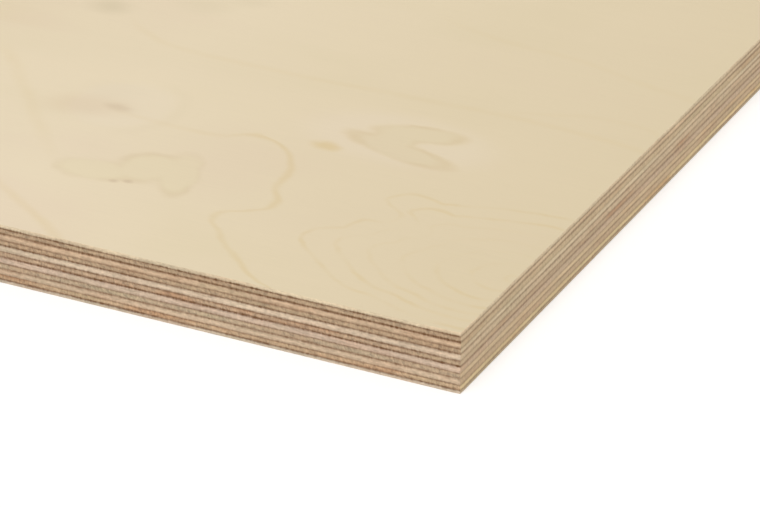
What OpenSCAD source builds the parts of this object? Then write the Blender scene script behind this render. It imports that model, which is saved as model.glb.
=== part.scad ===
// A full sheet of birch plywood, lying flat with its face up.
//
// It is an odd number of rotary-cut veneers, glued face to face and pressed flat. The grain
// of each runs at right angles to the next, and the two outer veneers have theirs along the
// length. Veneers are numbered downwards: 1 is the face and the last is the back. The
// origin is on the underside, at the middle of the sheet. +X is the length, +Y the width.

/* [Sheet] */
// Length of the sheet, along the grain of its outer veneers
sheet_length = 2440; // [1220:10:3660]
// Width of the sheet, across the grain of its outer veneers
sheet_width = 1220; // [600:10:1830]

/* [Veneers] */
// Number of veneers, always odd so that the sheet stays balanced
veneer_count = 11; // [3:2:21]
// Thickness of the face and of the back, after sanding
outer_thickness = 0.95; // [0.5:0.05:1.5]
// Thickness of each inner veneer with its grain along the sheet
long_thickness = 1.7; // [1:0.05:3]
// Thickness of each veneer with its grain across the sheet
cross_thickness = 1.26; // [1:0.02:3]

/* [Hidden] */
cross_places = [2 : 2 : veneer_count - 1];
long_places = [3 : 2 : veneer_count - 2];

function cross_name(place) = str("cross_veneer_", place);
function long_name(place) = str("long_veneer_", place);
function is_outer(place) = place == 1 || place == veneer_count;
function is_cross(place) = place % 2 == 0;

function name_of(place) =
    place == 1 ? "face_veneer"
    : place == veneer_count ? "back_veneer"
    : is_cross(place) ? cross_name(place)
    : long_name(place);

function thickness_of(place) =
    is_outer(place) ? outer_thickness
    : is_cross(place) ? cross_thickness
    : long_thickness;

// Height of a veneer's underside: all the veneers below it, added up
function underside_of(place) =
    place == veneer_count ? 0
    : underside_of(place + 1) + thickness_of(place + 1);

// One veneer, sawn to the sheet's size with all the others
module veneer(place) {
    translate([-sheet_length / 2, -sheet_width / 2, underside_of(place)])
        cube([sheet_length, sheet_width, thickness_of(place)]);
}

// Top sheet: clear birch, sanded, grain along the length
module face_veneer() {
    color([0.88, 0.81, 0.68]) veneer(1);
}

// Inner sheet with its grain across: its end grain shows on the long edges
module cross_veneer(place) {
    color([0.71, 0.60, 0.48]) veneer(place);
}

// Inner sheet with its grain along: its end grain shows on the short edges
module long_veneer(place) {
    color([0.83, 0.73, 0.62]) veneer(place);
}

// Bottom sheet, sanded like the top one
module back_veneer() {
    color([0.82, 0.74, 0.64]) veneer(veneer_count);
}

face_veneer();
for (place = cross_places)
    cross_veneer(place);
for (place = long_places)
    long_veneer(place);
back_veneer();
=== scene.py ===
import math
import bpy
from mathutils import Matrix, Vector


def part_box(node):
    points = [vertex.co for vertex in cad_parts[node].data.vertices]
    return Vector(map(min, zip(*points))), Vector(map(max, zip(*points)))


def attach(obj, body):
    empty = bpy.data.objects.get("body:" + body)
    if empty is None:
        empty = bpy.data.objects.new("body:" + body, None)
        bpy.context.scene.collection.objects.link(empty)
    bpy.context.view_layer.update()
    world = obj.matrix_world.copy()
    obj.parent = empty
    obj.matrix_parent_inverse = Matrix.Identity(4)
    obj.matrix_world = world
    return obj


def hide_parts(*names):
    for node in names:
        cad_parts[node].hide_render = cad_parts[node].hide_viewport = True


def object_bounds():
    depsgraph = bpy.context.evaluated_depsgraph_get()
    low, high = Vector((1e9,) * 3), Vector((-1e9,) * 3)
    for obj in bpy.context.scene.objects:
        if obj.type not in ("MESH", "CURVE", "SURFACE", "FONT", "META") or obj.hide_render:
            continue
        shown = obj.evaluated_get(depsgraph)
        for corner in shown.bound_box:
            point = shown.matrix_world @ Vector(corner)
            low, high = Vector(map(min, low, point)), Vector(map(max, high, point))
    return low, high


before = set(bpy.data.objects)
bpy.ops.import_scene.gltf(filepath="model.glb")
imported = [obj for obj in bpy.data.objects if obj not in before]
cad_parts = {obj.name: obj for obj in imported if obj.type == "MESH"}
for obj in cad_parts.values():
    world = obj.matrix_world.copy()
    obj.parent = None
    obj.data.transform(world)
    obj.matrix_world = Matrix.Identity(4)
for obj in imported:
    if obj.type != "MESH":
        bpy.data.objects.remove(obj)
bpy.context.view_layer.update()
sheet_low, sheet_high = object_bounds()


# ---- Back veneer -------------------------------------------------------------------------
# A sheet is laid up from below, so its back comes first: one rotary-cut birch veneer, pressed
# and glued with the rest, sawn to size and sanded. Its grain runs along the sheet. The tools
# that form and finish every veneer are made in this section.

MM = 0.001


class Value:
    """A socket of a node tree. Arithmetic on it adds nodes, so a formula reads as Python."""

    def __init__(self, socket):
        self.socket = socket
        self.is_vector = socket.type in ("VECTOR", "RGBA")

    def node(self, kind, settings=None, inputs=None, output=0):
        """Adds a node: first its settings, then the values or links of its sockets."""
        tree = self.socket.id_data
        made = tree.nodes.new(kind)
        for name, setting in (settings or {}).items():
            if name == "points":
                self.bend(made.mapping, setting)
            else:
                setattr(made, name, setting)
        for name, value in (inputs or {}).items():
            if isinstance(value, Value):
                tree.links.new(value.socket, made.inputs[name])
            else:
                made.inputs[name].default_value = value
        return Value(made.outputs[output])

    @staticmethod
    def bend(mapping, points):
        """Lays the curve of a Float Curve node through its points."""
        curve = mapping.curves[0]
        curve.points[0].location = points[0]
        curve.points[1].location = points[-1]
        for across, up in points[1:-1]:
            curve.points.new(across, up)
        mapping.update()

    def math(self, operation, *values):
        """A Math node on these values, or a Vector Math node where one of them is a vector."""
        if not any(isinstance(v, tuple) or getattr(v, "is_vector", False) for v in values):
            return self.node("ShaderNodeMath", {"operation": operation}, dict(enumerate(values)))
        values = [(v, v, v) if isinstance(v, (int, float)) else v for v in values]
        return self.node("ShaderNodeVectorMath", {"operation": operation}, dict(enumerate(values)))

    def __add__(self, other):
        return self.math("ADD", self, other)

    def __radd__(self, other):
        return self.math("ADD", other, self)

    def __sub__(self, other):
        return self.math("SUBTRACT", self, other)

    def __rsub__(self, other):
        return self.math("SUBTRACT", other, self)

    def __mul__(self, other):
        return self.math("MULTIPLY", self, other)

    def __rmul__(self, other):
        return self.math("MULTIPLY", other, self)

    def __truediv__(self, other):
        return self.math("DIVIDE", self, other)

    def __pow__(self, other):
        return self.math("POWER", self, other)

    def __abs__(self):
        return self.math("ABSOLUTE", self)

    def least(self, other, rounding=0.0):
        """The smaller of two values. Rounding smooths the change from one to the other."""
        return self.node("ShaderNodeMath", {"operation": "SMOOTH_MIN"},
                         {0: self, 1: other, 2: rounding})

    def most(self, other, rounding=0.0):
        return self.node("ShaderNodeMath", {"operation": "SMOOTH_MAX"},
                         {0: self, 1: other, 2: rounding})

    def part(self, axis):
        """One component of a vector: 0, 1 or 2."""
        return self.node("ShaderNodeSeparateXYZ", inputs={0: self}, output=axis)

    def length(self):
        return self.node("ShaderNodeVectorMath", {"operation": "LENGTH"}, {0: self}, output=1)

    def rise(self, start, end, smooth=True):
        """0 up to start and 1 from end on, and the other way round where start is larger."""
        return self.node("ShaderNodeMapRange",
                         {"interpolation_type": "SMOOTHSTEP" if smooth else "LINEAR"},
                         {"Value": self, "From Min": start, "From Max": end})

    def follow(self, *points):
        """The height of a smooth curve through a few points, at this value across."""
        start, end = points[0][0], points[-1][0]
        low = min(height for place, height in points)
        high = max(height for place, height in points)
        shares = [((place - start) / (end - start), (height - low) / (high - low))
                  for place, height in points]
        share = self.rise(start, end, smooth=False)
        return share.node("ShaderNodeFloatCurve", {"points": shares},
                          {"Value": share}) * (high - low) + low

    def noise(self, scale, seed, detail=2.0, roughness=0.5):
        """Noise from about -1 to 1. The scale is in cycles a metre, one for each axis."""
        place = self.node("ShaderNodeVectorMath", {"operation": "MULTIPLY_ADD"},
                          {0: self, 1: scale, 2: (seed, seed * 0.7, seed * 1.3)
                           if isinstance(seed, (int, float)) else seed})
        return self.node("ShaderNodeTexNoise", inputs={
            "Vector": place, "Scale": 1.0, "Detail": detail, "Roughness": roughness}) * 2.0 - 1.0


def forming_tree():
    """Geometry Nodes that form one veneer as it lies in the pressed and sawn sheet.

    A grid is wrapped round the veneer. Its columns are stations along the four sawn edges,
    and its rows run from the middle of the underside, up the edge, to the middle of the top.
    """
    tree = bpy.data.node_groups.new("form a veneer", "GeometryNodeTree")
    tree.interface.new_socket("Veneer", in_out="OUTPUT", socket_type="NodeSocketGeometry")
    for name, kind in (
        ("Length", "Float"), ("Width", "Float"), ("Underside", "Float"), ("Thickness", "Float"),
        ("Station Gap", "Float"), ("Edge Rows", "Int"), ("Saw Roughness", "Float"),
        ("Joint Below", "Float"), ("Joint Above", "Float"),
        ("Ripple Below", "Float"), ("Ripple Above", "Float"),
        ("Arris Below", "Float"), ("Arris Above", "Float"), ("Chip Depth", "Float"),
        ("Corner Wear", "Float"),
        ("Map Lanes", "Float"), ("Map Edge Share", "Float"), ("Map Below Share", "Float"),
        ("Sawn Material", "Material"), ("Below Material", "Material"),
        ("Above Material", "Material"),
    ):
        tree.interface.new_socket(name, in_out="INPUT", socket_type="NodeSocket" + kind)
    start = tree.nodes.new("NodeGroupInput")
    given = {socket.name: Value(socket) for socket in start.outputs if socket.name}
    length, width, thickness = given["Length"], given["Width"], given["Thickness"]
    gap, rows = given["Station Gap"], given["Edge Rows"]

    def fresh(kind, settings=None, inputs=None, output=0):
        return length.node(kind, settings, inputs, output)

    # Where each point of the grid stands: its station, its row, and its share of the height
    along = fresh("ShaderNodeMath", {"operation": "ROUND"}, {0: length / gap})
    across = fresh("ShaderNodeMath", {"operation": "ROUND"}, {0: width / gap})
    stations = (along + across) * 2.0
    grid = fresh("GeometryNodeMeshGrid", inputs={
        "Size X": 1.0, "Size Y": 1.0, "Vertices X": stations + 1.0, "Vertices Y": rows + 2.0})
    index = fresh("GeometryNodeInputIndex")
    station = fresh("ShaderNodeMath", {"operation": "FLOOR"}, {0: (index + 0.5) / (rows + 2.0)})
    row = index - station * (rows + 2.0)
    on_cap = (1.0 - row).most(0.0) + (row - rows).most(0.0)
    climb = (row - 1.0).rise(0.0, rows - 1.0, smooth=False)
    climb = 0.5 - fresh("ShaderNodeMath", {"operation": "COSINE"}, {0: climb * math.pi}) * 0.5

    def leg(first, count):
        """How far along one edge of the sheet a station is, from 0 at its first to 1."""
        return (station - first).rise(0.0, count, smooth=False)

    east = leg(0.0, along) - leg(along + across, along) - 0.5
    north = leg(along, across) - leg(along * 2.0 + across, across) - 0.5
    outline = fresh("ShaderNodeCombineXYZ", inputs={
        0: east * length, 1: north * width, 2: climb * thickness})
    flat_outline = outline * (1.0, 1.0, 0.0)

    # The sawn edge: a rough cut, shallow grooves at the joints, eased and chipped arrises
    def eased(size, height):
        """How far a rounded arris of this size stands back, at a height below its corner."""
        lean = 1.0 - (height / size.most(0.001 * MM)).least(1.0)
        return size * (1.0 - (1.0 - lean * lean) ** 0.5)

    chips = flat_outline.noise((330.0, 330.0, 330.0), given["Joint Above"] + 20.0)
    chipped = given["Arris Above"] + chips.rise(0.1, 0.5) * given["Chip Depth"]
    roughness = outline.noise((260.0, 260.0, 900.0), given["Joint Below"] + 40.0) * 0.5 + 0.5
    groove = abs(climb * 2.0 - 1.0) ** 8.0
    to_corner = (0.5 - abs(east)) * length + (0.5 - abs(north)) * width
    setback = (given["Saw Roughness"] * (roughness + groove)
               + given["Corner Wear"] * to_corner.rise(1.0 * MM, 0.0) * (roughness + 0.5)
               + eased(chipped, thickness * (1.0 - climb))
               + eased(given["Arris Below"], thickness * climb))
    inset = on_cap * length.least(width) * 0.5 + (1.0 - on_cap) * setback

    # The joints ripple, and the veneers on either side share the ripple
    def ripple(joint, height):
        wave = (flat_outline.noise((14.0, 14.0, 1.0), joint)
                + flat_outline.noise((70.0, 70.0, 1.0), joint + 5.0) * 0.5)
        return wave * height

    lift = (ripple(given["Joint Below"], given["Ripple Below"]) * (1.0 - climb)
            + ripple(given["Joint Above"], given["Ripple Above"]) * climb) * (1.0 - on_cap)
    east_place = east * (length - inset * 2.0)
    north_place = north * (width - inset * 2.0)
    place = fresh("ShaderNodeCombineXYZ", inputs={
        0: east_place, 1: north_place, 2: given["Underside"] + climb * thickness + lift})

    # Its map for baking has three shelves: the edge in lanes, then the underside and the top
    face_index = fresh("GeometryNodeFieldOnDomain", {"data_type": "FLOAT", "domain": "FACE"},
                       {0: index + 0.5})
    column = fresh("ShaderNodeMath", {"operation": "FLOOR"}, {0: face_index / (rows + 1.0)})
    face_row = face_index - column * (rows + 1.0)
    lane_columns = fresh("ShaderNodeMath", {"operation": "CEIL"},
                         {0: stations / given["Map Lanes"]})
    lane = fresh("ShaderNodeMath", {"operation": "FLOOR"}, {0: (column + 0.5) / lane_columns})
    lane_across = (station - lane * lane_columns) / lane_columns
    lane_margin, lane_height = 0.08, 0.84
    lane_up = ((lane + lane_margin + climb * lane_height)
               / given["Map Lanes"] * given["Map Edge Share"])
    shelf_across = east_place / length + 0.5
    shelf_up = north_place / width + 0.5
    shelf_gap = 0.004
    below_start = given["Map Edge Share"] + shelf_gap
    above_start = below_start + given["Map Below Share"] + shelf_gap
    is_below = 1.0 - face_row.rise(0.9, 1.1, smooth=False)
    is_above = (face_row - rows).rise(-0.1, 0.1, smooth=False)
    is_edge = 1.0 - is_below - is_above
    map_place = fresh("ShaderNodeCombineXYZ", inputs={
        0: lane_across * is_edge + shelf_across * (1.0 - is_edge),
        1: lane_up * is_edge + (below_start + shelf_up * given["Map Below Share"]) * is_below
           + (above_start + shelf_up * (1.0 - above_start)) * is_above})

    def store(geometry, name, domain, data_type, value):
        return fresh("GeometryNodeStoreNamedAttribute",
                     {"data_type": data_type, "domain": domain},
                     {"Geometry": geometry, "Name": name, "Value": value})

    depths = fresh("ShaderNodeCombineXYZ", inputs={
        0: thickness * climb, 1: thickness * (1.0 - climb)})
    mesh = store(grid, "glue_depths", "POINT", "FLOAT_VECTOR", depths)
    mesh = store(mesh, "OFBake", "CORNER", "FLOAT2", map_place)
    mesh = fresh("GeometryNodeSetPosition", inputs={"Geometry": mesh, "Position": place})
    mesh = fresh("GeometryNodeMergeByDistance", inputs={"Geometry": mesh, "Distance": 0.001 * MM})
    angle = fresh("GeometryNodeInputMeshEdgeAngle")
    sharp_from = math.radians(50.0)
    mesh = fresh("GeometryNodeSetShadeSmooth", {"domain": "EDGE"}, {
        "Geometry": mesh, "Shade Smooth": angle.math("LESS_THAN", angle, sharp_from)})
    mesh = fresh("GeometryNodeRealizeInstances", inputs={"Geometry": mesh})
    facing_up = fresh("GeometryNodeInputNormal").part(2)
    level = 0.999
    is_sawn = abs(facing_up).math("LESS_THAN", abs(facing_up), level)
    faces_down = facing_up.math("LESS_THAN", facing_up, -level)
    faces_up = facing_up.math("GREATER_THAN", facing_up, level)
    for material, chosen in (("Sawn Material", is_sawn), ("Below Material", faces_down),
                             ("Above Material", faces_up)):
        mesh = fresh("GeometryNodeSetMaterial", inputs={
            "Geometry": mesh, "Selection": chosen, "Material": given[material]})
    end = tree.nodes.new("NodeGroupOutput")
    tree.links.new(mesh.socket, end.inputs[0])
    return tree


def form_veneer(name, sizes):
    """Runs the forming tree for the veneer of this node, and puts it in the node's place. The
    sizes are those that differ from the usual ones."""
    low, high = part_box(name)
    sizes = {"Length": high.x - low.x, "Width": high.y - low.y, "Underside": low.z,
             "Thickness": high.z - low.z, "Station Gap": 2 * MM, "Edge Rows": 7,
             "Saw Roughness": 0.02 * MM, "Ripple Below": 0.17 * MM, "Ripple Above": 0.17 * MM,
             "Arris Below": 0.0, "Arris Above": 0.0, "Chip Depth": 0.0, "Corner Wear": 0.1 * MM,
             "Map Lanes": 64.0, "Map Edge Share": 0.97, "Map Below Share": 0.01, **sizes}
    blank = bpy.data.objects.new(name + " blank", bpy.data.meshes.new("blank"))
    bpy.context.scene.collection.objects.link(blank)
    former = blank.modifiers.new("form a veneer", "NODES")
    former.node_group = FORMING
    for socket in FORMING.interface.items_tree:
        if socket.in_out == "INPUT":
            former[socket.identifier] = sizes[socket.name]
    graph = bpy.context.evaluated_depsgraph_get()
    mesh = bpy.data.meshes.new_from_object(blank.evaluated_get(graph), depsgraph=graph)
    bpy.data.objects.remove(blank)
    piece = bpy.data.objects.new(name + "_wood", mesh)
    bpy.context.scene.collection.objects.link(piece)
    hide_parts(name)
    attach(piece, "root")


def birch(red, green, blue):
    """A wood tone given from 0 to 255 as the eye sees it, as a colour that nodes take."""
    return tuple((part / 255.0) ** 2.2 for part in (red, green, blue)) + (1.0,)


LATE_WOOD = birch(216, 189, 130)


def tinted(under, over, amount):
    """The colour under with the colour over laid on it, where amount goes from 0 to 1."""
    return amount.node("ShaderNodeMix", {"data_type": "RGBA"}, {0: amount, 6: under, 7: over},
                       output=2)


def new_material(name):
    """A new material, its wood shader, and the coordinates of the object that it is on."""
    material = bpy.data.materials.new(name)
    material.use_nodes = True
    tree = material.node_tree
    shader = tree.nodes["Principled BSDF"]
    shader.inputs["Specular IOR Level"].default_value = 0.3
    here = Value(tree.nodes.new("ShaderNodeTexCoord").outputs["Object"])
    return material, shader, here


def finish_wood(shader, colour, roughness, relief, depth):
    """Joins colour, roughness and relief to the shader. The relief is depth metres high."""
    tree = shader.id_data
    tree.links.new(colour.socket, shader.inputs["Base Color"])
    tree.links.new(roughness.socket, shader.inputs["Roughness"])
    bump = relief.node("ShaderNodeBump", inputs={
        "Height": relief, "Distance": depth, "Strength": 1.0})
    tree.links.new(bump.socket, shader.inputs["Normal"])


# Each glue line: how strong it shows, from 0 to 1, half its width, and how far its middle lies
# below the joint, in millimetres. Joint 1 is under the face veneer, and so on downwards.
GLUE_LINES = {
    1: (0.97, 0.28, -0.02), 2: (1.00, 0.34, 0.03), 3: (0.66, 0.28, -0.03), 4: (0.94, 0.30, 0.02),
    5: (0.86, 0.27, -0.02), 6: (1.00, 0.33, 0.08), 7: (0.68, 0.25, 0.00), 8: (0.82, 0.28, 0.09),
    9: (0.71, 0.26, -0.03), 10: (0.96, 0.31, -0.02)}


def glue_line(here, height, joint):
    """How much of joint's dark resin shows at this height in millimetres above the joint. Its
    noise is the same in the two veneers that it joins."""
    strength, half_width, sag = GLUE_LINES[joint]
    ragged = here.noise((1900.0, 1900.0, 300.0), joint + 41.0, detail=2.0) * 0.22
    swell = here.noise((150.0, 150.0, 0.0), joint + 31.0, detail=3.0) * 0.45 + 1.1
    fade = here.noise((60.0, 60.0, 0.0), joint + 37.0, detail=4.0).rise(-0.6, 0.3) * 0.3 + 0.7
    grit = here.noise((1300.0, 1300.0, 500.0), joint + 47.0).rise(-0.4, 0.3) * 0.3 + 0.7
    from_middle = abs(height + sag) + ragged
    line = (from_middle / (swell * half_width)).rise(1.5, 0.1)
    soaked = (from_middle + ragged).rise(0.75, 0.0) * 0.36
    return (line * fade * grit).most(soaked) * strength


def sawn_edge(name, side_tone, end_tone, end_on_long_edges, joint_below, joint_above,
              stain=(176, 112, 66), stained=0.15, seed=0.0):
    """The sawn edge of one veneer, with half of the glue line at each of its joints. Two of
    the sheet's edges cut across its fibres and show end grain; two show its side grain."""
    material, shader, here = new_material(name)
    normal = here.node("ShaderNodeNewGeometry", output=3)
    on_short_edge = abs(normal.part(0)).rise(0.45, 0.55, smooth=False)
    end_grain = 1.0 - on_short_edge if end_on_long_edges else on_short_edge

    # Side grain has long soft streaks. End grain has upright marks and slanting lathe checks
    streaks = here.noise((70.0, 70.0, 2000.0), seed, detail=3.0)
    clouds = here.noise((40.0, 40.0, 160.0), seed + 3.0)
    grain = here.noise((700.0, 700.0, 1600.0), seed + 29.0, detail=2.0, roughness=0.6)
    marks = here.noise((1500.0, 1500.0, 620.0), seed + 7.0, detail=2.0, roughness=0.6)
    lean = here.part(2) * 0.6
    leaning = here + here.node("ShaderNodeCombineXYZ", inputs={0: lean, 1: lean})
    checks = abs(leaning.noise((560.0, 560.0, 90.0), seed + 11.0)).rise(0.07, 0.0)
    specks = here.noise((1200.0, 1200.0, 1000.0), seed + 17.0, detail=1.0).rise(0.45, 0.62)
    rough_end = end_grain * (1.0 - on_short_edge * 0.6)

    colour = tinted(birch(*side_tone), birch(*end_tone), end_grain)
    hue = here.noise((75.0, 75.0, 300.0), seed + 23.0, detail=3.0)
    colour = tinted(colour, birch(*stain), hue.rise(-0.05, 0.4) * stained)
    colour = tinted(colour, birch(172, 161, 124), hue.rise(-0.05, -0.4) * 0.2)
    light_and_dark = (clouds * (0.22 - end_grain * 0.15) + streaks * (0.26 - end_grain * 0.12)
                      + grain * (0.40 - on_short_edge * 0.24) + marks * rough_end * 0.42)
    dark_bits = checks * rough_end * 0.24 + specks * (0.22 - on_short_edge * 0.08)
    colour = colour * (1.0 + light_and_dark) * (1.0 - dark_bits)

    depths = here.node("ShaderNodeAttribute", {"attribute_name": "glue_depths"}, output=1) / MM
    glue = here.part(0) * 0.0
    if joint_below in GLUE_LINES:
        glue = glue_line(here, depths.part(0), joint_below)
    if joint_above in GLUE_LINES:
        glue = glue.most(glue_line(here, 0.0 - depths.part(1), joint_above))
    glue = glue * (1.0 - on_short_edge * 0.34)
    colour = tinted(colour, birch(101, 65, 32), glue)
    roughness = 0.78 + marks * 0.10 - glue * 0.12
    relief = grain * 0.5 + marks * rough_end + streaks * 0.3 - checks * rough_end - glue * 0.5
    finish_wood(shader, colour, roughness, relief, 0.03 * MM)
    return material


def ring_lines(ring_height, spot, half_width):
    """Thin soft lines where ring_height of a spot is a whole number, as a growth ring's late
    wood is. Two more heights close by give the slope, which keeps every line as wide."""
    step = 0.4
    height = ring_height(spot)
    slope_along = (ring_height(spot + (step, 0.0, 0.0)) - height) / step
    slope_across = (ring_height(spot + (0.0, step, 0.0)) - height) / step
    slope = (slope_along * slope_along + slope_across * slope_across + 0.00002) ** 0.5
    to_line = abs(height.math("FRACT", height + 0.5) - 0.5) / slope
    return to_line.rise(half_width, half_width * 0.1)


def drift(spot, size, amount, seed):
    """A spot moved about by up to amount, in swirls of this size, so that lines wander."""
    swirls = (1.0 / size, 1.6 / size, 0.0)
    return spot + spot.node("ShaderNodeCombineXYZ", inputs={
        0: spot.noise(swirls, seed) * amount,
        1: spot.noise(swirls, seed + 50.0) * amount * 0.7})


def sanded_birch(name, pale_tone, deep_tone, seed, corner_figure_and_painted_shade=None):
    """Sanded rotary-cut birch. The knife peels round the log, so the growth rings come out as
    broad contours. Spots are in millimetres from the sheet's front right corner."""
    material, shader, here = new_material(name)
    corner = (sheet_high.x, sheet_low.y, 0.0)
    spot = (here - corner) * (-1000.0, 1000.0, 0.0)

    def rings(place):
        return (place.noise((0.0013, 0.0085, 0.0), seed, detail=1.0) * 6.0
                + place.noise((0.0060, 0.0300, 0.0), seed + 2.0, detail=1.0) * 1.1)

    drifted = drift(drift(spot, 50.0, 14.0, seed + 5.0), 9.0, 1.6, seed + 15.0)
    faint = spot.noise((0.012, 0.030, 0.0), seed + 4.0).rise(-0.5, 0.4) * 0.8 + 0.2
    late_wood = ring_lines(rings, drifted, 1.8) * faint
    height = rings(drifted)
    depth = height.rise(-1.5, 1.5)
    ring_shade = height.math("FRACT", height).rise(0.1, 1.0) * faint
    if corner_figure_and_painted_shade:
        beyond_corner = oval(spot, (0.0, 0.0), (190.0, 230.0)).rise(0.9, 1.3)
        late_wood = late_wood * beyond_corner
        depth = depth * beyond_corner
        ring_shade = ring_shade * beyond_corner

    fibres = spot.noise((0.045, 2.2, 0.0), seed + 6.0, detail=3.0, roughness=0.6)
    pores = spot.noise((0.35, 3.6, 0.0), seed + 8.0, detail=1.0).rise(0.35, 0.62)
    bands = spot.noise((0.004, 0.022, 0.0), seed + 10.0, detail=2.0)
    hue = spot.noise((0.016, 0.030, 0.0), seed + 12.0, detail=2.0)

    colour = tinted(birch(*pale_tone), birch(*deep_tone), depth * 0.6)
    colour = tinted(colour, birch(229, 206, 182), hue.rise(0.0, 0.5) * 0.30)
    colour = tinted(colour, birch(224, 210, 172), hue.rise(0.0, -0.5) * 0.30)
    colour = tinted(colour, LATE_WOOD, (late_wood * 0.34).most(ring_shade * 0.30))
    # The corner figure also lays painted shade over the face near its corner
    if corner_figure_and_painted_shade:
        colour = corner_figure_and_painted_shade(colour, spot)
    colour = colour * (1.0 + fibres * 0.022 + bands * 0.02 - pores * 0.03)
    finish_wood(shader, colour, 0.66 + fibres * 0.06 - late_wood * 0.05,
                fibres - pores - late_wood * 0.4, 0.012 * MM)
    return material


def glued_surface():
    """The hidden top or underside of an inner veneer: birch under brown resin."""
    material, shader, here = new_material("glued surface")
    spread = here.noise((6.0, 60.0, 1.0), 2.0)
    colour = tinted(birch(150, 116, 82), birch(122, 90, 62), spread.rise(-0.5, 0.5))
    finish_wood(shader, colour, 0.6 + spread * 0.1, spread, 0.02 * MM)
    return material


FORMING = forming_tree()
GLUED = glued_surface()
form_veneer("back_veneer", {
    "Joint Below": 0.0, "Joint Above": 10.0, "Ripple Below": 0.0,
    "Arris Below": 0.25 * MM,
    "Map Lanes": 15.0, "Map Edge Share": 0.12, "Map Below Share": 0.86,
    "Sawn Material": sawn_edge("sawn back veneer", (204, 186, 163), (190, 170, 140), False,
                               None, 10, seed=111.0),
    "Below Material": sanded_birch("sanded birch back", (222, 204, 172), (210, 188, 152),
                                   seed=90.0),
    "Above Material": GLUED})


# ---- Cross veneers -----------------------------------------------------------------------
# Thinner veneers of birch with their grain across the sheet. They are wet with resin on both
# faces, so they hold the sheet flat. The long edges cut them across the grain.

# For each veneer, its tone where the edge shows its side grain, and where it shows end grain
CROSS_TONES = {
    10: ((216, 192, 147), (197, 168, 135)),
    8: ((206, 181, 144), (190, 168, 139)),
    6: ((196, 170, 137), (190, 161, 131)),
    4: ((209, 188, 154), (187, 160, 129)),
    2: ((209, 184, 149), (187, 160, 129))}
CROSS_STAINS = {10: 0.34, 8: 0.15, 6: 0.34, 4: 0.12, 2: 0.12}
for place, (side_tone, end_tone) in CROSS_TONES.items():
    form_veneer(f"cross_veneer_{place}", {
        "Joint Below": float(place), "Joint Above": place - 1.0,
        "Sawn Material": sawn_edge(f"sawn cross veneer {place}", side_tone, end_tone, True,
                                   place, place - 1, stained=CROSS_STAINS[place],
                                   seed=place * 10.0),
        "Below Material": GLUED, "Above Material": GLUED})


# ---- Long veneers ------------------------------------------------------------------------
# Thicker, paler veneers with their grain along the sheet, laid between the cross veneers. The
# long edges cut them along the grain, so they show there as smooth light bands.

LONG_TONES = {
    9: ((207, 182, 153), (196, 170, 137)),
    7: ((209, 184, 160), (197, 171, 142)),
    5: ((213, 190, 163), (203, 179, 146)),
    3: ((203, 174, 143), (199, 175, 139))}
for place, (side_tone, end_tone) in LONG_TONES.items():
    form_veneer(f"long_veneer_{place}", {
        "Joint Below": float(place), "Joint Above": place - 1.0,
        "Sawn Material": sawn_edge(f"sawn long veneer {place}", side_tone, end_tone, False,
                                   place, place - 1, seed=place * 10.0),
        "Below Material": GLUED, "Above Material": GLUED})


# ---- Face veneer -------------------------------------------------------------------------
# The best veneer goes on top: clear rotary-cut birch, grain along the sheet, sanded smooth.
# The knife follows the growth rings round the log, so they show as broad wandering contours.

def oval(spot, middle, half_size, turn=0.0):
    """How far a spot is from an oval's middle, where 1 is its rim. A turn is in degrees, from
    along the sheet towards its far edge."""
    cosine, sine = math.cos(math.radians(turn)), math.sin(math.radians(turn))
    away = spot - (middle[0], middle[1], 0.0)
    along, across = away.part(0), away.part(1)
    return spot.node("ShaderNodeCombineXYZ", inputs={
        0: (along * cosine + across * sine) / half_size[0],
        1: (across * cosine - along * sine) / half_size[1]}).length()


def stroke(offset, half_width):
    """A soft line where offset is nothing. Both are in millimetres."""
    return abs(offset).rise(half_width, 0.0)


def heart_rings(spot):
    """Rings nested in the tongue of heart wood that comes in from the right edge."""
    middle = (0.0, 28.0, 0.0)
    away = spot - middle
    bearing = away.node("ShaderNodeMath", {"operation": "ARCTAN2"},
                        {0: away.part(1), 1: away.part(0)}) * math.degrees(1.0)
    rim = bearing.follow((-90.0, 26.0), (-46.0, 31.0), (-31.0, 38.0), (-15.0, 44.5),
                         (-6.0, 50.0), (-1.0, 52.0), (8.0, 46.0), (14.0, 45.0),
                         (21.0, 39.5), (27.0, 45.0), (30.5, 49.5), (42.0, 40.0),
                         (64.0, 34.0), (90.0, 32.0))
    point = 51.0 - abs(bearing + 3.0) * 0.24
    outward = (away.length() / rim).rise(0.35, 0.95)
    share = away.length() / (rim * outward + point * (1.0 - outward))
    ring_count = 6.3
    return (1.0 + (1.0 - share) * ring_count).most(0.5)


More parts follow.
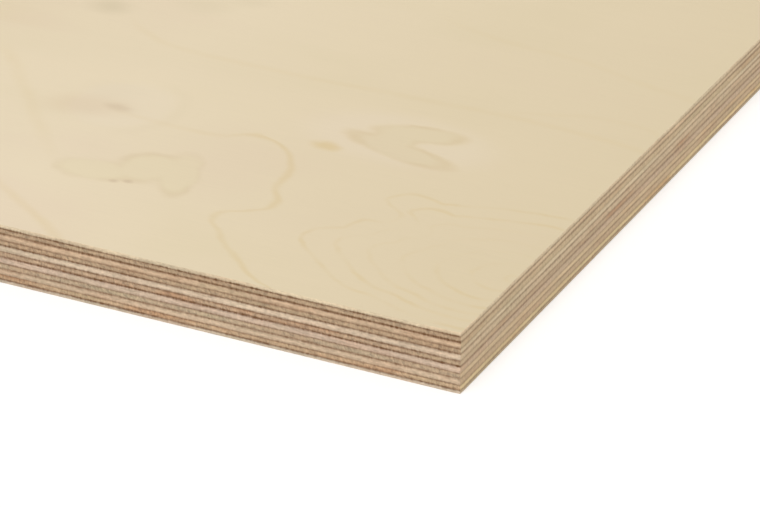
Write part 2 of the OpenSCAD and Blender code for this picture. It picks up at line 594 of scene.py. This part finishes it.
def corner_figure_and_painted_shade(colour, spot):
    """Painted shade, then the ring lines and small marks of the face near its front right corner,
    in the order in which they are laid over the plain wood."""
    spot = drift(drift(spot, 14.0, 1.2, 61.0), 3.0, 0.4, 71.0)
    along, across = spot.part(0), spot.part(1)
    comes_and_goes = spot.noise((0.10, 0.14, 0.0), 66.0).rise(-0.4, 0.4) * 0.8 + 0.2

    # Painted shade: the face is darkened a little towards the right edge, and again farther in and
    # to the left, as the light falls off
    painted_shade_tone = birch(220, 202, 166)
    colour = tinted(colour, painted_shade_tone, along.rise(125.0, -10.0, smooth=False)
                    * across.rise(420.0, 230.0) * 0.84)
    colour = tinted(colour, painted_shade_tone, across.rise(30.0, 100.0, smooth=False)
                    * along.rise(0.0, 60.0) * 0.24)

    # The heart's tongue, the hollow to its left, and the slower rings beyond it
    inner = oval(spot, (0.0, 28.0), (46.0, 26.0)).rise(1.0, 0.85)
    heart = ring_lines(heart_rings, spot, 1.0) * (1.0 - inner * across.rise(10.0, 40.0) * 0.75)
    left_wall = across.follow((0.0, 46.0), (4.0, 54.0), (10.0, 60.5), (20.0, 70.5), (26.0, 74.5),
                              (32.0, 68.5), (36.0, 65.5), (46.0, 69.0), (55.0, 70.5),
                              (63.0, 75.5), (69.0, 86.0))
    back_wall = along.follow((80.0, 67.5), (86.0, 68.0), (94.0, 64.0), (110.0, 64.0),
                             (126.0, 67.0))
    hollow = stroke((left_wall - along).most(across - back_wall, 1.5), 1.9)
    hollow = hollow * along.rise(128.0, 116.0) * (1.0 - along.rise(86.0, 94.0) * 0.6)
    first = stroke(across - along.follow((0.0, 101.0), (27.0, 104.5), (60.0, 104.5),
                                         (100.0, 103.5), (128.0, 105.0), (140.0, 109.0),
                                         (150.0, 118.0)), 2.2)
    first = first * along.rise(152.0, 140.0)
    side_loop = stroke(across - along.follow((0.0, 108.0), (13.0, 114.0), (26.0, 111.0),
                                             (40.0, 106.0)), 1.8) * along.rise(42.0, 34.0)
    second = stroke(across - along.follow((0.0, 133.0), (14.0, 136.5), (36.0, 143.0),
                                          (64.0, 147.0), (80.0, 155.0)), 2.2)
    second = second * along.rise(84.0, 60.0)
    left_line = stroke((across - (along - 100.0) * 0.68) * 0.83, 2.2) * across.rise(24.0, 14.0)
    far_left_line = stroke((along - 148.0 - (across - 63.6) * 0.88) * 0.75, 3.0)
    far_left_line = far_left_line * across.rise(92.0, 80.0) * across.rise(30.0, 50.0)
    lines = heart * comes_and_goes * 0.30
    for line, strength in ((hollow, 0.34), (first, 0.12), (side_loop, 0.07), (second, 0.08),
                           (left_line, 0.22), (far_left_line, 0.12)):
        lines = lines.most(line * strength)
    colour = tinted(colour, LATE_WOOD, lines * (comes_and_goes * 0.5 + 0.5))

    # A two-lobed curl of early wood, with paler wood round it
    wavering = drift(spot, 9.0, 1.6, 81.0)
    curl = oval(wavering, (51.5, 86.0), (11.0, 4.4), turn=-8.0).least(
        oval(wavering, (52.5, 76.0), (15.5, 4.2), turn=15.0), 0.3)
    curl = curl.least(oval(wavering, (56.0, 81.0), (5.5, 4.5)), 0.3)
    pale_round = oval(spot, (55.0, 81.0), (28.0, 15.0)).rise(1.1, 0.6) * curl.rise(0.9, 1.3)
    colour = tinted(colour, birch(233, 217, 194), pale_round * 0.30)
    colour = tinted(colour, birch(213, 198, 158), curl.rise(1.1, 0.8) * 0.16)
    curl_rim = stroke(curl * 5.0 - 4.6, 1.6) * comes_and_goes
    colour = tinted(colour, birch(206, 178, 130), curl_rim * 0.26)

    # A closed loop farther left, with two pin knots in it
    loop = oval(wavering, (112.0, 34.5), (10.0, 5.5)).least(
        oval(wavering, (92.0, 41.0), (11.5, 5.0), turn=70.0), 0.6)
    loop = loop.least(oval(wavering, (100.5, 41.0), (9.0, 8.0), turn=-20.0), 0.4)
    colour = tinted(colour, birch(225, 211, 168), loop.rise(1.05, 0.7) * 0.25)
    loop_rim = stroke(loop * 6.0 - 5.4, 1.7) * comes_and_goes
    colour = tinted(colour, birch(202, 176, 132), loop_rim * 0.22)
    pins = oval(spot, (101.6, 32.5), (1.4, 1.0)).least(oval(spot, (104.6, 31.2), (1.2, 0.9)))
    colour = tinted(colour, birch(168, 132, 104), pins.rise(1.5, 0.2) * 0.22)

    # A gum fleck, then a small knot with a smear beside it and a ring round it
    fleck = oval(wavering, (69.5, 70.5), (4.4, 2.8)).rise(1.3, 0.3)
    colour = tinted(colour, birch(214, 184, 116), fleck * 0.42)
    ring = oval(spot, (124.0, 69.0), (15.0, 15.0))
    colour = tinted(colour, birch(234, 219, 200), ring.rise(1.0, 0.7) * 0.15)
    ring_side = stroke(ring * 15.0 - 15.0, 3.0) * along.rise(122.0, 112.0)
    colour = tinted(colour, birch(204, 186, 154), ring_side * 0.06)
    smear = oval(wavering, (132.0, 65.0), (11.0, 6.0), turn=-12.0).rise(1.5, 0.2)
    shade = oval(wavering, (130.0, 75.0), (8.0, 5.0)).rise(1.5, 0.2)
    knot = oval(wavering, (124.5, 67.3), (4.2, 2.8)).rise(1.3, 0.2)
    colour = tinted(colour, birch(202, 168, 132), smear * 0.17)
    colour = tinted(colour, birch(204, 190, 162), shade * 0.10)
    colour = tinted(colour, birch(176, 146, 112), knot * 0.20)

    # Soft grey mineral stains farther in
    stains = oval(wavering, (158.0, 120.5), (6.0, 5.0)).rise(1.5, 0.0)
    stains = stains + oval(wavering, (136.0, 132.0), (8.0, 6.0)).rise(1.5, 0.0) * 0.4
    stains = stains + oval(wavering, (127.0, 140.0), (6.0, 5.0)).rise(1.5, 0.0) * 0.4
    return tinted(colour, birch(180, 166, 132), stains * 0.24)


form_veneer("face_veneer", {
    "Joint Below": 1.0, "Joint Above": 0.0, "Ripple Above": 0.0,
    "Arris Above": 0.10 * MM, "Chip Depth": 0.06 * MM,
    "Map Lanes": 15.0, "Map Edge Share": 0.12, "Map Below Share": 0.01,
    "Sawn Material": sawn_edge("sawn face veneer", (221, 201, 168), (213, 192, 158), False,
                               1, None, seed=11.0),
    "Below Material": GLUED,
    "Above Material": sanded_birch("sanded birch face", (235, 218, 187), (224, 206, 170),
                                   seed=20.0, corner_figure_and_painted_shade=corner_figure_and_painted_shade)})


# ---- Floor, light and camera -------------------------------------------------------------
# The sheet lies on a plain white studio floor, under a soft pale sky, with one broad lamp that
# shines from above and a little in front. The camera looks down at the front right corner
# through a long lens.

def studio_floor():
    """A wide square of matt white floor. It glows faintly, which keeps it white."""
    half = 70.0
    mesh = bpy.data.meshes.new("studio_floor")
    corners = [(-half, -half, 0.0), (half, -half, 0.0), (half, half, 0.0), (-half, half, 0.0)]
    mesh.from_pydata(corners, [], [(0, 1, 2, 3)])
    floor = bpy.data.objects.new("studio_floor", mesh)
    bpy.context.scene.collection.objects.link(floor)
    material, shader, here = new_material("white studio floor")
    paint = tinted((0.80, 0.80, 0.80, 1.0), (0.82, 0.82, 0.82, 1.0),
                   here.noise((3.0, 3.0, 3.0), 0.0).rise(-0.5, 0.5))
    finish_wood(shader, paint, 0.9 + paint.part(0) * 0.01, paint.part(0), 0.01 * MM)
    shader.inputs["Emission Color"].default_value = (1.0, 1.0, 1.0, 1.0)
    shader.inputs["Emission Strength"].default_value = 0.28
    mesh.materials.append(material)
    return floor


def studio_sky():
    """An even sky that is brightest near the horizon, as light from a white cyclorama is."""
    world = bpy.data.worlds.new("studio sky")
    world.use_nodes = True
    background = world.node_tree.nodes["Background"]
    way = Value(world.node_tree.nodes.new("ShaderNodeTexCoord").outputs["Generated"])
    height = abs(way.part(2)).rise(0.05, 0.2)
    glow = tinted((1.05, 1.05, 1.05, 1.0), (0.50, 0.50, 0.50, 1.0), height)
    world.node_tree.links.new(glow.socket, background.inputs["Color"])
    bpy.context.scene.world = world


def soft_lamp(towards_x, towards_y, towards_z, strength):
    """One broad lamp that shines from the way given."""
    lamp = bpy.data.lights.new("soft_lamp", "SUN")
    lamp.energy = strength
    lamp.angle = math.radians(40.0)
    holder = bpy.data.objects.new("soft_lamp", lamp)
    aim = Vector((towards_x, towards_y, towards_z))
    holder.rotation_euler = aim.to_track_quat("Z", "Y").to_euler()
    bpy.context.scene.collection.objects.link(holder)


def corner_camera():
    """A long lens that looks down at the near corner, from in front and to the right of it."""
    lens = bpy.data.cameras.new("corner_camera")
    lens.lens = 166.9
    camera = bpy.data.objects.new("corner_camera", lens)
    near_corner = Vector((sheet_high.x, sheet_low.y, sheet_low.z))
    camera.location = near_corner + Vector((0.2821, -0.6003, 0.3728))
    tilt_down, turn_left = 27.059, 26.668
    camera.rotation_euler = (math.radians(90.0 - tilt_down), 0.0, math.radians(turn_left))
    bpy.context.scene.collection.objects.link(camera)
    bpy.context.scene.camera = camera


studio_floor()
studio_sky()
soft_lamp(0.06, -0.2, 0.5, 1.6)
corner_camera()
bpy.context.scene.view_settings.view_transform = "Standard"
